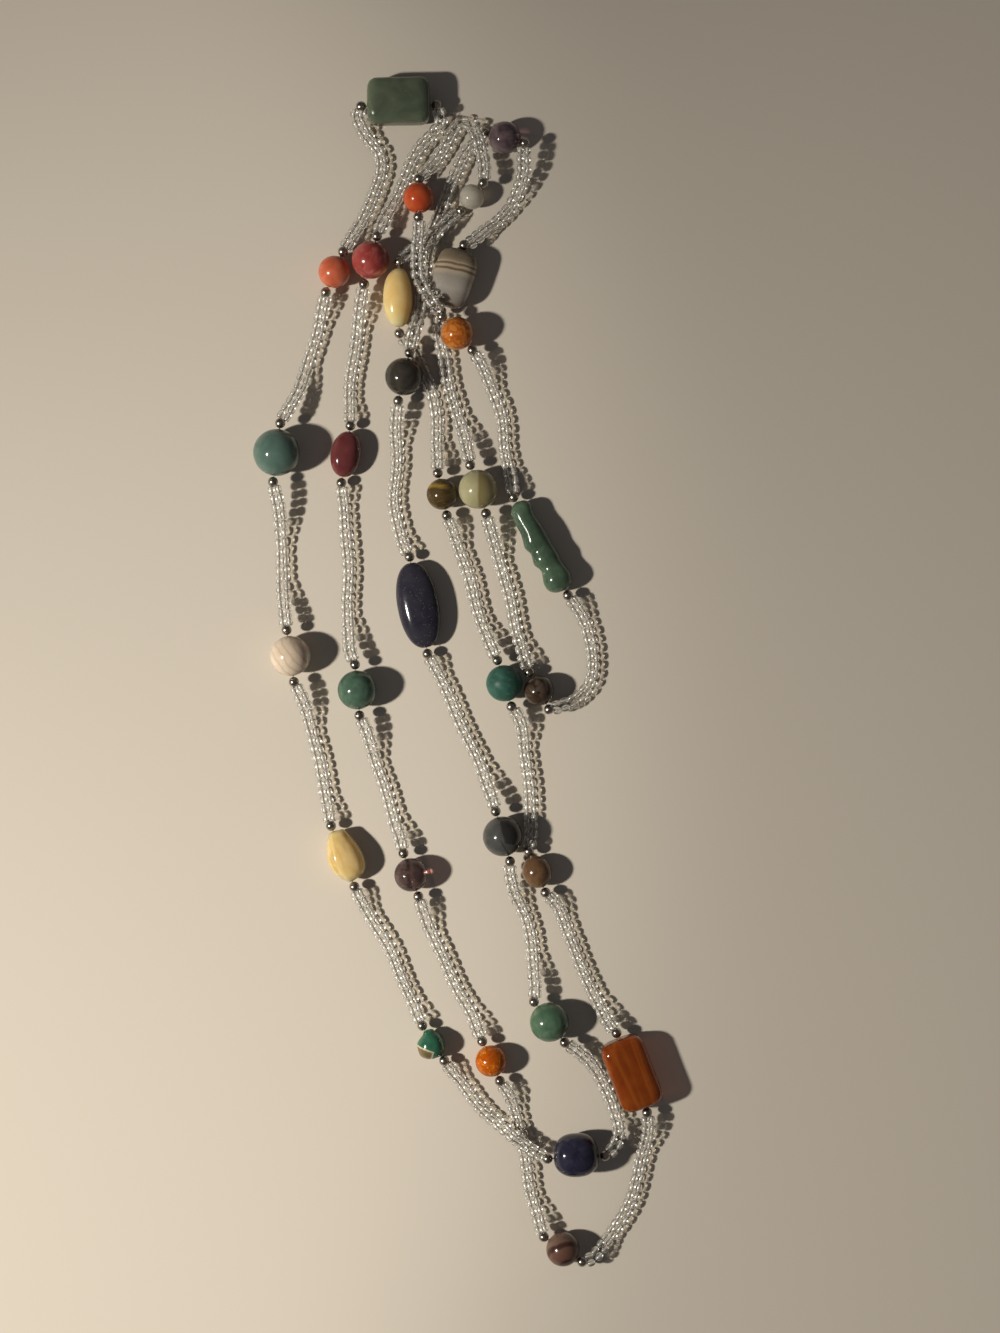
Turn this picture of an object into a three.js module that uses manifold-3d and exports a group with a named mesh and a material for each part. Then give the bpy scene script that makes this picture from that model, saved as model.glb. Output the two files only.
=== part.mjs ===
// A long beaded necklace lying in loose loops: one endless strand with no clasp.
// Thirty large stone beads are joined by thirty stretches of clear seed beads. Each stretch is two
// strands side by side, and a polished metal ball closes it at each end, against the large bead.
// Millimetres, +Z up. The necklace rests on Z = 0, and the origin is under the middle of its box.

import * as THREE from "three";
import { mergeVertices } from "three/addons/utils/BufferGeometryUtils.js";
import Module from "manifold-3d";

const wasm = await Module();
wasm.setup();

// Driving dimensions.
const SEED_RADIUS = 0.95; // clear seed beads
const STRAND_OFFSET = 1.02; // from the middle of a stretch to either of its two strands
const BALL_RADIUS = 1.3; // metal spacer balls
const BALL_GAP = 0.25; // between a spacer ball and the bead's drilled end
const STRAND_START = 1.0; // from a ball's centre to the start of the strands
const FALL_RATIO = 3.2; // how far a stretch runs for each millimetre it sinks to the surface
const STEP_LENGTH = 5.5; // between sections along a stretch
const FINE_STEP = 3.2; // the same, where a stretch passes over another
const STRAND_SIDES = 6;
const BALL_AROUND = 8;
const BALL_RINGS = 4;
const BEAD_AROUND = 12;
const BEAD_RINGS = 7;

function stone(color, roughness = 0.15) {
  return new THREE.MeshStandardMaterial({ color, roughness, metalness: 0 });
}

function glass() {
  const [color, roughness, opacity] = [0xe8e4dc, 0.06, 0.7];
  return new THREE.MeshStandardMaterial({ color, roughness, metalness: 0, transparent: true, opacity });
}

// Sections of the beads that aren't regular, from the entry hole to the exit hole. at: distance from
// the bead's middle; wide and tall: half sizes; side: how far the section sits left of the drill line.
const PEAR = [
  { at: -6.4, wide: 2.0, tall: 1.8, side: 0.6 },
  { at: -5.0, wide: 2.8, tall: 2.5, side: 0.5 },
  { at: -2.5, wide: 3.8, tall: 3.2, side: 0.5 },
  { at: 0.0, wide: 4.45, tall: 3.6, side: 0.45 },
  { at: 2.5, wide: 4.4, tall: 3.5, side: 0.6 },
  { at: 4.6, wide: 3.6, tall: 2.9, side: 0.85 },
  { at: 6.1, wide: 2.2, tall: 1.8, side: 0.7 },
];
const NUGGET = [
  { at: -3.2, wide: 1.5, tall: 1.4, side: 0.2 },
  { at: -2.3, wide: 2.7, tall: 2.4, side: -0.6 },
  { at: -1.0, wide: 3.4, tall: 3.2, side: -0.75 },
  { at: 0.8, wide: 3.6, tall: 3.4, side: -0.9 },
  { at: 2.4, wide: 2.8, tall: 2.7, side: -0.8 },
  { at: 3.3, wide: 1.7, tall: 1.6, side: -0.6 },
];
const CARVED = [
  { at: -12.2, wide: 1.9, tall: 1.8, side: 0.3 },
  { at: -10.8, wide: 2.8, tall: 2.7, side: 0.2 },
  { at: -7.8, wide: 2.75, tall: 3.0, side: -0.15 },
  { at: -4.7, wide: 2.95, tall: 3.4, side: -0.05 },
  { at: -1.5, wide: 3.4, tall: 3.5, side: -0.4 },
  { at: 0.6, wide: 3.05, tall: 3.1, side: -0.15 },
  { at: 3.4, wide: 3.45, tall: 3.5, side: -0.35 },
  { at: 5.7, wide: 2.95, tall: 3.0, side: -0.05 },
  { at: 9.0, wide: 3.7, tall: 3.7, side: -0.3 },
  { at: 11.2, wide: 3.3, tall: 3.2, side: -0.3 },
  { at: 12.4, wide: 2.0, tall: 1.9, side: -0.2 },
];

// The large beads in their order along the thread. x, y: the middle of the drill line; heading:
// degrees from +X, from the entry hole to the exit hole; tilt: how far the exit hole points up;
// lift: how far the bead is held off the surface by strands under it; long, wide, tall: full sizes;
// ends and square: roundness of the outline along and across the drill line (2 is round); level: the
// share of the full swell at which a slab's faces run level, so that it has a flat top and underside.
const round = (size) => ({ long: size, wide: size, tall: size, ends: 2, square: 2 });
const BEADS = [
  { name: "bead_01_moss_slab", x: -25.9, y: 143.5, heading: 181, long: 16.2, wide: 11.8, tall: 8.4,
    ends: 5, square: 3.6, level: 0.96, side: -1.1, material: stone(0x40483a, 0.2) },
  { name: "bead_02_coral_round", x: -42.4, y: 101, heading: -113, ...round(8.2),
    material: stone(0xcd5f37) },
  { name: "bead_03_teal_round", x: -57, y: 54.6, heading: -97, ...round(12), material: stone(0x48705c) },
  { name: "bead_04_cream_round", x: -53.6, y: 2.7, heading: -82, ...round(10.3), material: stone(0xcdb49b) },
  { name: "bead_05_yellow_pear", x: -40.3, y: -48.6, heading: -69, long: 13.6, sections: PEAR,
    material: stone(0xc8ac64) },
  { name: "bead_06_green_nugget", x: -17.1, y: -96.5, heading: -58, long: 7.5, sections: NUGGET,
    material: stone(0x2d7350) },
  { name: "bead_07_navy_barrel", x: 19.5, y: -125.3, heading: 3, long: 11.6, wide: 11, tall: 10.9,
    ends: 2.4, square: 2.1, side: 0.55, material: stone(0x1c1c30) },
  { name: "bead_08_green_round", x: 12.6, y: -90.9, heading: 127, ...round(10), material: stone(0x466950) },
  { name: "bead_09_slate_round", x: 0.7, y: -43.4, heading: 106, ...round(10.2), material: stone(0x3e4444) },
  { name: "bead_10_blue_oval", x: -20.9, y: 15.7, heading: 100.5, long: 22.2, wide: 10.5, tall: 6.6,
    ends: 2.2, square: 2.2, material: stone(0x262037, 0.1) },
  { name: "bead_11_black_round", x: -24.6, y: 74.1, heading: 77, ...round(9.6),
    material: stone(0x282624, 0.1) },
  { name: "bead_12_milky_round", x: -7.2, y: 120.3, heading: 47, tilt: 26, lift: 0.3, ...round(6.4),
    material: stone(0xafa591, 0.3) },
  { name: "bead_13_orange_egg", x: -20.8, y: 119.8, heading: -90, tilt: 20, lift: 0.8,
    long: 8, wide: 8, tall: 8, ends: 1.9, square: 2, material: stone(0xd74b1e) },
  { name: "bead_14_crackle_round", x: -10.9, y: 85, heading: -47, tilt: -12, lift: 1.7, ...round(8.4),
    material: stone(0xc8641e) },
  { name: "bead_15_carved_jade", x: 10.4, y: 30.8, heading: -61, long: 25.6, sections: CARVED,
    material: stone(0x41644b) },
  { name: "bead_16_mottled_round", x: 10, y: -6.2, heading: 118, ...round(7.7), material: stone(0x32201c) },
  { name: "bead_17_olive_round", x: -5.6, y: 45.3, heading: 108, ...round(10), material: stone(0x968c69) },
  { name: "bead_18_banded_barrel", x: -12.1, y: 99.4, heading: 71, long: 14.8, wide: 10.6, tall: 8.2,
    ends: 4, square: 2.6, material: stone(0x6e6657, 0.2) },
  { name: "bead_19_amethyst_round", x: 1.2, y: 135.3, heading: 161, tilt: -20, ...round(8.3),
    material: stone(0x3c2d34, 0.1) },
  { name: "bead_20_yellow_oval", x: -25.8, y: 94.5, heading: -90, long: 15.2, wide: 7.5, tall: 7,
    ends: 2.1, square: 2.1, side: -0.4, material: stone(0xc8a55a) },
  { name: "bead_21_tiger_eye_round", x: -14.8, y: 44.1, heading: -78, ...round(8),
    material: stone(0x3c2a12) },
  { name: "bead_22_turquoise_round", x: 1.1, y: -4.3, heading: -73, ...round(9.3),
    material: stone(0x3c7869, 0.35) },
  { name: "bead_23_tan_round", x: 9.5, y: -52.6, heading: -68, long: 8.3, wide: 7.5, tall: 7.5,
    ends: 2, square: 2, material: stone(0x825a3c) },
  { name: "bead_24_carnelian_slab", x: 33.7, y: -103.9, heading: -69, long: 18.7, wide: 11.4, tall: 9.0,
    ends: 4.6, square: 3.6, level: 0.96, material: stone(0x7d3714) },
  { name: "bead_25_brown_banded_round", x: 16.1, y: -149.1, heading: 147, ...round(8.6),
    material: stone(0x694639) },
  { name: "bead_26_orange_crackle_round", x: -2.3, y: -101, heading: 114, ...round(8),
    material: stone(0xd76e1e) },
  { name: "bead_27_smoky_round", x: -22.8, y: -53.3, heading: 109, ...round(8.6),
    material: stone(0x3a2a2c, 0.08) },
  { name: "bead_28_aventurine_round", x: -36.5, y: -6, heading: 95, ...round(10),
    material: stone(0x3c6448) },
  { name: "bead_29_red_oval", x: -39.5, y: 54.4, heading: 81, long: 11.8, wide: 7.7, tall: 6.4,
    ends: 2.1, square: 2.2, material: stone(0x5f2326) },
  { name: "bead_30_cherry_round", x: -33.1, y: 103.9, heading: 75, ...round(9.6),
    material: stone(0xa53c3a, 0.25) },
];

// The stretch after each bead, to the next one. via: points that its middle line passes; over: places
// where it passes over another strand, with the height of its middle line and how far it rises and
// sinks; fall_in and fall_out: how far it runs to sink from either bead, where that isn't the usual.
const STRETCHES = [
  { via: [[-36.5, 141.2], [-34.5, 136.7], [-31, 131.5], [-30.5, 126.5], [-32.5, 120.5], [-35.5, 114.5],
    [-38.5, 109]] },
  { via: [[-45.5, 91.5], [-48, 82], [-51, 72], [-54, 66]] },
  { via: [[-57, 42.5], [-56, 35], [-56, 23.5], [-55, 14.5]] },
  { via: [[-51, -7.5], [-48.5, -15], [-46.5, -24], [-44.5, -33.5]] },
  { via: [[-35.5, -60], [-31.5, -67], [-27.5, -74.5], [-23.5, -84]] },
  { via: [[-11, -105.5], [-5.5, -112.5], [1, -118.5], [7, -123]],
    over: [{ x: 4, y: -120.5, top: 3.7, reach: 9 }] },
  { via: [[29, -123], [30.5, -118.5], [28.8, -112], [25.8, -106], [22.8, -101], [19.5, -98]] },
  { via: [[9, -81.5], [8.5, -74], [6.5, -64], [3.5, -57], [2.5, -52.5]] },
  { via: [[-2.5, -32], [-6, -23.5], [-11, -12.5], [-15.5, -2.5]] },
  { via: [[-25, 31.5], [-27, 41], [-26.5, 52.5], [-26.5, 63]] },
  { via: [[-22.8, 83], [-21.8, 86.5], [-20.5, 91], [-20, 96.5], [-19.5, 102], [-18.5, 107], [-16.5, 110.5],
    [-13, 114.5]],
    over: [{ x: -22.4, y: 85.5, top: 5.2, reach: 9 }, { x: -18.2, y: 107.5, top: 3.2, reach: 9 },
      { x: -15.5, y: 112, top: 3.4, reach: 12 }] },
  { via: [[-4, 126.5], [-4.3, 131], [-5.8, 135.5], [-8, 139], [-10, 139.5], [-12.2, 137], [-14.6, 132.8],
    [-17.3, 128.7]],
    over: [{ x: -5, y: 134.5, top: 4.8, reach: 9 }] },
  { via: [[-20.6, 112], [-20.8, 108], [-21, 103.5], [-21, 99.5], [-19.5, 96], [-17.5, 93]],
    over: [{ x: -20.7, y: 109, top: 5.6, reach: 16 }, { x: -19.5, y: 96, top: 7.9, reach: 9 },
      { x: -17.2, y: 92.6, top: 9.4, reach: 9 }] },
  { via: [[-5, 78], [-2, 71.5], [0.5, 63.5], [1.5, 55.5], [3, 47.5]] },
  { via: [[19.5, 15.5], [22.5, 9.5], [24, 3], [23, -4.5], [19.5, -8.5], [16, -10]] },
  { via: [[6, 3], [3.5, 13], [1, 23.5], [-2, 33.5]] },
  { via: [[-8.5, 56], [-11, 65.5], [-13.5, 73], [-14.5, 80.5], [-15.5, 86]], fall_out: 5 },
  { via: [[-7.5, 108.5], [-4, 111.5], [0.5, 115.5], [4, 120], [6, 125.5], [6, 130]] },
  { via: [[-6, 134.5], [-8, 132.5], [-10.5, 128.5], [-13, 123], [-14.5, 118], [-16.5, 113.5], [-19, 110],
    [-22.5, 107]] },
  { via: [[-23.7, 82.8], [-21.2, 78.8], [-18.5, 73.5], [-16.5, 65.5], [-16, 55.5]], fall_in: 3.4 },
  { via: [[-12, 34.5], [-9, 26.5], [-6, 15.5], [-2.5, 5.5]] },
  { via: [[5, -13.5], [6.5, -21.5], [7.5, -31.5], [8, -42]] },
  { via: [[15, -61.5], [18, -70], [22.5, -80.5], [27, -90]] },
  { via: [[38, -117.5], [37, -124], [35, -133], [31, -142.5], [26.5, -148.5], [23.5, -151.5]] },
  { via: [[10, -142], [8, -135], [6.5, -126.5], [5, -118.5], [2.5, -110]] },
  { via: [[-7, -90], [-11, -82.5], [-15.5, -73], [-19.5, -63]] },
  { via: [[-25.5, -44], [-28, -36.5], [-31, -27], [-34, -17]] },
  { via: [[-38.5, 4.5], [-39, 14.5], [-39, 27], [-40, 40.5]] },
  { via: [[-38.5, 66], [-38, 76], [-36.5, 85.5], [-35.5, 93.5]] },
  { via: [[-30.5, 112.5], [-27, 119.5], [-24, 126], [-20.6, 133], [-15.2, 139.6]] },
];

// Signed power, for superellipse outlines.
const bulge = (value, exponent) => Math.sign(value) * Math.abs(value) ** (2 / exponent);

// A regular bead as rows of sections, like the tables above.
function regularSections({ long, wide, tall, ends, side = 0, level = 1 }, rings) {
  return Array.from({ length: rings }, (_, i) => {
    const turn = (Math.PI * (i + 1)) / (rings + 1);
    const swell = Math.min(bulge(Math.sin(turn), ends), level) / level;
    return {
      at: (-bulge(Math.cos(turn), ends) * long) / 2,
      wide: (swell * wide) / 2,
      tall: (swell * tall) / 2,
      side,
    };
  });
}

// A closed surface through sections along X, with a point at each end. A slab's sections start half a
// step round, so that it has a facet, and not an edge, in the middle of each side.
function loft(sections, { long, square = 2.2, level = 1 }, around) {
  const start = level < 1 ? 0.5 : 0;
  const crest = bulge(Math.cos((2 * Math.PI * start) / around), square);
  const points = [];
  for (const { at, wide, tall, side } of sections) {
    for (let j = 0; j < around; j++) {
      const turn = (2 * Math.PI * (j + start)) / around;
      const across = (wide * bulge(Math.cos(turn), square)) / crest;
      const up = (tall * bulge(Math.sin(turn), square)) / crest;
      points.push(at, side + across, up);
    }
  }
  const first = sections.length * around;
  points.push(-long / 2, sections[0].side, 0, long / 2, sections.at(-1).side, 0);
  const faces = [];
  for (let j = 0; j < around; j++) {
    const next = (j + 1) % around;
    faces.push(first, next, j);
    for (let i = 0; i + 1 < sections.length; i++) {
      const [a, b] = [i * around + j, i * around + next];
      faces.push(a, b, b + around, a, b + around, a + around);
    }
    const last = (sections.length - 1) * around;
    faces.push(first + 1, last + j, last + next);
  }
  const geometry = new THREE.BufferGeometry();
  geometry.setAttribute("position", new THREE.Float32BufferAttribute(points, 3));
  geometry.setIndex(faces);
  geometry.computeVertexNormals();
  return geometry;
}

// Where the bead's middle is, and the way that its drill line points.
function middle(bead) {
  const tall = bead.sections ? 2 * Math.max(...bead.sections.map((row) => row.tall)) : bead.tall;
  return new THREE.Vector3(bead.x, bead.y, tall / 2 + (bead.lift ?? 0));
}

function drillTurn(bead) {
  const { heading, tilt = 0 } = bead;
  const { degToRad } = THREE.MathUtils;
  return new THREE.Euler(0, degToRad(-tilt), degToRad(heading), "ZYX");
}

function beadMesh(bead) {
  const sections = bead.sections ?? regularSections(bead, BEAD_RINGS);
  const mesh = new THREE.Mesh(loft(sections, bead, BEAD_AROUND), bead.material);
  mesh.name = bead.name;
  mesh.position.copy(middle(bead));
  mesh.rotation.copy(drillTurn(bead));
  return mesh;
}

// The centre of the spacer ball at a bead's entry (-1) or exit (+1) hole.
function ballCentre(bead, end) {
  const reach = bead.long / 2 + BALL_GAP + BALL_RADIUS;
  return new THREE.Vector3(end * reach, 0, 0).applyEuler(drillTurn(bead)).add(middle(bead));
}

// 1 at the start, falling smoothly to 0 after the distance reach.
function fall(distance, reach) {
  const u = Math.min(distance / reach, 1);
  return (1 - u) ** 2 * (1 + 2 * u);
}

// The middle line of a stretch as evenly spaced points: a smooth curve over its via points, at the
// height of the holes next to the beads, sinking to the surface, and lifted where it passes over.
function middleLine(start, end, { via, over = [], fall_in, fall_out }) {
  const passed = via.map(([x, y]) => new THREE.Vector3(x, y, 0));
  const plan = [start.clone().setZ(0), ...passed, end.clone().setZ(0)];
  const curve = new THREE.CatmullRomCurve3(plan, false, "centripetal");
  const length = curve.getLength();
  const steps = Math.ceil(length / (over.length > 0 ? FINE_STEP : STEP_LENGTH));
  const fallIn = fall_in ?? FALL_RATIO * (start.z - SEED_RADIUS);
  const fallOut = fall_out ?? FALL_RATIO * (end.z - SEED_RADIUS);
  const pitch = (length - 2 * STRAND_START) / steps;
  const peaks = over.map(({ x, y }) => nearestPlace(curve, length, x, y));
  return Array.from({ length: steps + 1 }, (_, i) => {
    const place = STRAND_START + pitch * i;
    const fromStart = (start.z - SEED_RADIUS) * fall(place, fallIn);
    const fromEnd = (end.z - SEED_RADIUS) * fall(length - place, fallOut);
    const rises = over.map(({ top, reach }, k) => {
      return (top - SEED_RADIUS) * fall(Math.abs(place - peaks[k]), reach);
    });
    return curve.getPointAt(place / length).setZ(SEED_RADIUS + Math.max(fromStart + fromEnd, ...rises));
  });
}

function nearestPlace(curve, length, x, y) {
  const target = new THREE.Vector3(x, y, 0);
  const places = Array.from({ length: 101 }, (_, i) => i / 100);
  places.sort((a, b) => curve.getPointAt(a).distanceTo(target) - curve.getPointAt(b).distanceTo(target));
  return places[0] * length;
}

// A closed tube along points, moved sideways in the level plane.
function strandTube(line, offset) {
  const points = [];
  const faces = [];
  line.forEach((point, i) => {
    const along = line[Math.min(i + 1, line.length - 1)].clone().sub(line[Math.max(i - 1, 0)]).normalize();
    const across = new THREE.Vector3(-along.y, along.x, 0).normalize();
    const up = new THREE.Vector3().crossVectors(along, across);
    const centre = point.clone().addScaledVector(across, offset);
    for (let j = 0; j < STRAND_SIDES; j++) {
      const turn = (2 * Math.PI * (j + 0.5)) / STRAND_SIDES;
      const corner = centre.clone().addScaledVector(across, SEED_RADIUS * Math.cos(turn));
      corner.addScaledVector(up, SEED_RADIUS * Math.sin(turn));
      points.push(corner.x, corner.y, corner.z);
    }
    for (let j = 0; j < STRAND_SIDES && i > 0; j++) {
      const next = (j + 1) % STRAND_SIDES;
      const [a, b] = [(i - 1) * STRAND_SIDES + j, (i - 1) * STRAND_SIDES + next];
      faces.push(a, b, b + STRAND_SIDES, a, b + STRAND_SIDES, a + STRAND_SIDES);
    }
  });
  const last = (line.length - 1) * STRAND_SIDES;
  for (let j = 1; j + 1 < STRAND_SIDES; j++) {
    faces.push(0, j + 1, j, last, last + j, last + j + 1);
  }
  const geometry = new THREE.BufferGeometry();
  geometry.setAttribute("position", new THREE.Float32BufferAttribute(points, 3));
  geometry.setIndex(faces);
  return geometry;
}

function ballGeometry(centre) {
  const ball = new THREE.SphereGeometry(BALL_RADIUS, BALL_AROUND, BALL_RINGS);
  return ball.translate(centre.x, centre.y, centre.z);
}

function toManifold(geometry) {
  const bare = geometry.clone();
  bare.deleteAttribute("normal");
  bare.deleteAttribute("uv");
  const merged = mergeVertices(bare, 1e-4);
  const mesh = new wasm.Mesh({
    numProp: 3,
    vertProperties: new Float32Array(merged.attributes.position.array),
    triVerts: new Uint32Array(merged.index.array),
  });
  return new wasm.Manifold(mesh);
}

function fromManifold(solid) {
  const { vertProperties, triVerts } = solid.getMesh();
  const geometry = new THREE.BufferGeometry();
  geometry.setAttribute("position", new THREE.BufferAttribute(vertProperties, 3));
  geometry.setIndex(new THREE.BufferAttribute(triVerts, 1));
  geometry.computeVertexNormals();
  return geometry;
}

// A stretch of seed beads: its two strands and its two spacer balls, on one thread.
function stretchMesh(index) {
  const [from, to] = [BEADS[index], BEADS[(index + 1) % BEADS.length]];
  const [start, end] = [ballCentre(from, 1), ballCentre(to, -1)];
  const line = middleLine(start, end, STRETCHES[index]);
  const strands = [strandTube(line, STRAND_OFFSET), strandTube(line, -STRAND_OFFSET)];
  const pieces = [ballGeometry(start), ballGeometry(end), ...strands];
  const solid = pieces.map(toManifold).reduce((whole, piece) => whole.add(piece));
  const mesh = new THREE.Mesh(fromManifold(solid), glass());
  mesh.name = `strand_${String(index + 1).padStart(2, "0")}`;
  return mesh;
}

const layout = new THREE.Group();
layout.add(...BEADS.map(beadMesh), ...STRETCHES.map((_, index) => stretchMesh(index)));

// The layout is moved so that the origin is under the middle of its box, on the surface it rests on.
const box = new THREE.Box3().setFromObject(layout, true);
const centre = box.getCenter(new THREE.Vector3());
layout.position.set(-centre.x, -centre.y, -box.min.z);

const necklace = new THREE.Group();
necklace.add(layout);
export default necklace;
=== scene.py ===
"""A long beaded necklace lying in loose loops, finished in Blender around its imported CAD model.

Every large bead, seed bead and spacer ball is a mesh of its own shape with a drilled hole, and one
thread runs through them all. Sizes are in millimetres, in the layout's own axes, and are turned into
metres in the frame when a mesh is made.
"""

import math
import random

import bpy
import numpy as np
from mathutils import Euler, Matrix, Vector, noise


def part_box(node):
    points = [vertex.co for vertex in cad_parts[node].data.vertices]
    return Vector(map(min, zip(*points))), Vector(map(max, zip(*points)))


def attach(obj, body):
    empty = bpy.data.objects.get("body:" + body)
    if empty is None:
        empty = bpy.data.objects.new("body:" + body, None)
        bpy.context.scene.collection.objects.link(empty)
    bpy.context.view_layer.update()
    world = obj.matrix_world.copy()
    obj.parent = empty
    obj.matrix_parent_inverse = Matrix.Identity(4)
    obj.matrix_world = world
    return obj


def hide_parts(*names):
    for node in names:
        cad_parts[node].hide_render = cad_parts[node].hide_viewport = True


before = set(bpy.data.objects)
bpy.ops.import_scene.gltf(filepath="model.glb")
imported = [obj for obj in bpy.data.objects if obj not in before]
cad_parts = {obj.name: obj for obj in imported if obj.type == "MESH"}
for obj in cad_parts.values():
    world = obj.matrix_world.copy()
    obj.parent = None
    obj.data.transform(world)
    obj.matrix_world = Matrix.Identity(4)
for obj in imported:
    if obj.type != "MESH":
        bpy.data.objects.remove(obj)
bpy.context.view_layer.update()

MM = 0.001
SEED_RADIUS = 0.95
STRAND_OFFSET = 0.93  # from the middle of a stretch to either of its two strands
BALL_RADIUS = 1.3
BALL_GAP = 0.25  # between a large bead and the spacer ball against it
FALL_RATIO = 4.4  # how far a stretch runs for each millimetre it sinks
HOLE_RADIUS = 0.42  # drill hole of a large bead
HOLE_EDGE = 0.62  # the same with its rounded edge
THREAD_RADIUS = 0.17
HANG = 0.8  # how far a slack stretch stays above the floor
SEED_PITCH = 2.2
SEED_START = 2.1  # from a spacer ball's centre to the centre of the first seed bead
THREAD_STEP = 0.9
BEAD_AROUND = 72
BEAD_RINGS = 44
BALL_AROUND = 28
BALL_RINGS = 15
BALL_HOLE = 0.24  # radius of the hole through a spacer ball
BALL_MOUTH = 0.26  # the angle from a ball's pole to the edge of its hole, in radians

random.seed(7)

# ---------------------------------------------------------------------------------------------
# The layout: the same beads and stretches as the CAD model.

# Sections of the beads that aren't regular: distance along the drill line, half width, half height,
# and how far the section sits left of the drill line.
PEAR = [
    (-6.4, 2.0, 1.8, 0.6),
    (-5.0, 2.8, 2.5, 0.5),
    (-2.5, 3.8, 3.2, 0.5),
    (0.0, 4.45, 3.6, 0.45),
    (2.5, 4.4, 3.5, 0.6),
    (4.6, 3.6, 2.9, 0.85),
    (6.1, 2.2, 1.8, 0.7),
]
NUGGET = [
    (-3.2, 1.5, 1.4, 0.2),
    (-2.3, 2.7, 2.4, -0.6),
    (-1.0, 3.4, 3.2, -0.75),
    (0.8, 3.6, 3.4, -0.9),
    (2.4, 2.8, 2.7, -0.8),
    (3.3, 1.7, 1.6, -0.6),
]
CARVED = [
    (-12.2, 1.9, 1.8, 0.3),
    (-10.8, 2.8, 2.7, 0.2),
    (-7.8, 2.75, 3.0, -0.15),
    (-4.7, 2.95, 3.4, -0.05),
    (-1.5, 3.4, 3.5, -0.4),
    (0.6, 3.05, 3.1, -0.15),
    (3.4, 3.45, 3.5, -0.35),
    (5.7, 2.95, 3.0, -0.05),
    (9.0, 3.7, 3.7, -0.3),
    (11.2, 3.3, 3.2, -0.3),
    (12.4, 2.0, 1.9, -0.2),
]


def bead(name, x, y, heading, size=None, **more):
    """One large bead. size is the diameter of a round one."""
    shape = {"long": size, "wide": size, "tall": size} if size else {}
    return {"name": name, "x": x, "y": y, "heading": heading, **shape, **more}


BEADS = [
    bead("bead_01_moss_slab", -25.9, 143.5, 181, long=16.2, wide=11.8, tall=8.4, ends=5, square=3.6,
         level=0.96, side=-1.1),
    bead("bead_02_coral_round", -42.4, 101, -113, 8.2),
    bead("bead_03_teal_round", -57, 54.6, -97, 12),
    bead("bead_04_cream_round", -53.6, 2.7, -82, 10.3),
    bead("bead_05_yellow_pear", -40.3, -48.6, -69, long=13.6, sections=PEAR, square=2.2),
    bead("bead_06_green_nugget", -17.1, -96.5, -58, long=7.5, sections=NUGGET, square=2.2),
    bead("bead_07_navy_barrel", 19.5, -125.3, 3, long=11.6, wide=11, tall=10.9, ends=2.4, square=2.1,
         side=0.55),
    bead("bead_08_green_round", 12.6, -90.9, 127, 10),
    bead("bead_09_slate_round", 0.7, -43.4, 106, 10.2),
    bead("bead_10_blue_oval", -20.9, 15.7, 100.5, long=22.2, wide=10.5, tall=6.6, ends=2.2, square=2.2),
    bead("bead_11_black_round", -24.6, 74.1, 77, 9.6),
    bead("bead_12_milky_round", -7.2, 120.3, 47, 6.4, tilt=26, lift=0.3),
    bead("bead_13_orange_egg", -20.8, 119.8, -90, 8, tilt=20, lift=0.8, ends=1.9),
    bead("bead_14_crackle_round", -10.9, 85, -47, 8.4, tilt=-12, lift=1.7),
    bead("bead_15_carved_jade", 10.4, 30.8, -61, long=25.6, sections=CARVED, square=2.2),
    bead("bead_16_mottled_round", 10, -6.2, 118, 7.7),
    bead("bead_17_olive_round", -5.6, 45.3, 108, 10),
    bead("bead_18_banded_barrel", -12.1, 99.4, 71, long=14.8, wide=10.6, tall=8.2, ends=4, square=2.6),
    bead("bead_19_amethyst_round", 1.2, 135.3, 161, 8.3, tilt=-20),
    bead("bead_20_yellow_oval", -25.8, 94.5, -90, long=15.2, wide=7.5, tall=7, ends=2.1, square=2.1,
         side=-0.4),
    bead("bead_21_tiger_eye_round", -14.8, 44.1, -78, 8),
    bead("bead_22_turquoise_round", 1.1, -4.3, -73, 9.3),
    bead("bead_23_tan_round", 9.5, -52.6, -68, long=8.3, wide=7.5, tall=7.5),
    bead("bead_24_carnelian_slab", 33.7, -103.9, -69, long=18.7, wide=11.4, tall=9.0, ends=4.6,
         square=3.6, level=0.96),
    bead("bead_25_brown_banded_round", 16.1, -149.1, 147, 8.6),
    bead("bead_26_orange_crackle_round", -2.3, -101, 114, 8),
    bead("bead_27_smoky_round", -22.8, -53.3, 109, 8.6),
    bead("bead_28_aventurine_round", -36.5, -6, 95, 10),
    bead("bead_29_red_oval", -39.5, 54.4, 81, long=11.8, wide=7.7, tall=6.4, ends=2.1, square=2.2),
    bead("bead_30_cherry_round", -33.1, 103.9, 75, 9.6),
]

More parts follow.
